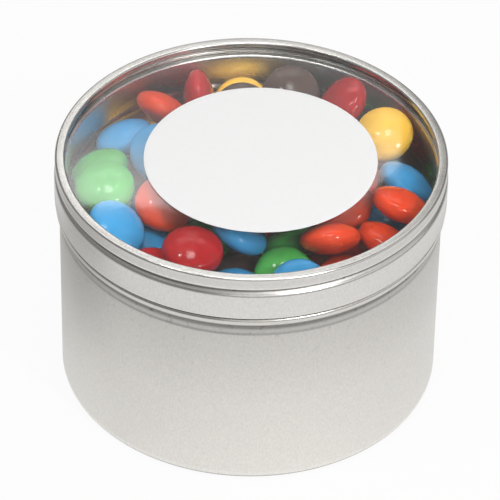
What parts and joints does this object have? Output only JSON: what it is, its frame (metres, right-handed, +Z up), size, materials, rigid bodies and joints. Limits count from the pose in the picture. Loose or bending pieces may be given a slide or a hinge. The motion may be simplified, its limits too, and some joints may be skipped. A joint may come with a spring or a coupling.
{
  "type": "window lid tin",
  "caption": "Round drawn tin with a slip-over window lid, a blank round label and a filling of sugar-shelled chocolate buttons.",
  "frame": {"origin": "middle of the base, on the ring that the tin stands on", "axes": "+Z up along the tin's axis, -Y towards the side that the picture shows"},
  "size_m": [0.086, 0.086, 0.0574],
  "materials": {
    "tinplate_body": "satin tinplate",
    "tinplate_lid": "satin tinplate",
    "clear_window": "clear sheet",
    "label": "white label film",
    "red_shell": "polished sugar shell",
    "orange_shell": "polished sugar shell",
    "yellow_shell": "polished sugar shell",
    "green_shell": "polished sugar shell",
    "blue_shell": "polished sugar shell",
    "brown_shell": "polished sugar shell"
  },
  "bodies": {
    "tin": {"tin_body": "tinplate_body", "red_candies_top": "red_shell", "orange_candies_top": "orange_shell", "yellow_candies_top": "yellow_shell", "green_candies_top": "green_shell", "blue_candies_top": "blue_shell", "brown_candies_top": "brown_shell", "red_candies_deep": "red_shell", "orange_candies_deep": "orange_shell", "yellow_candies_deep": "yellow_shell", "green_candies_deep": "green_shell", "blue_candies_deep": "blue_shell", "brown_candies_deep": "brown_shell"},
    "lid": {"lid_ring": "tinplate_lid", "window_disc": "clear_window", "window_label": "label"}
  },
  "joints": [
    {"name": "lid_lift", "type": "slide", "parent": "tin", "child": "lid", "axis": [0, 0, 1], "range_m": [0, 0.04]}
  ]
}
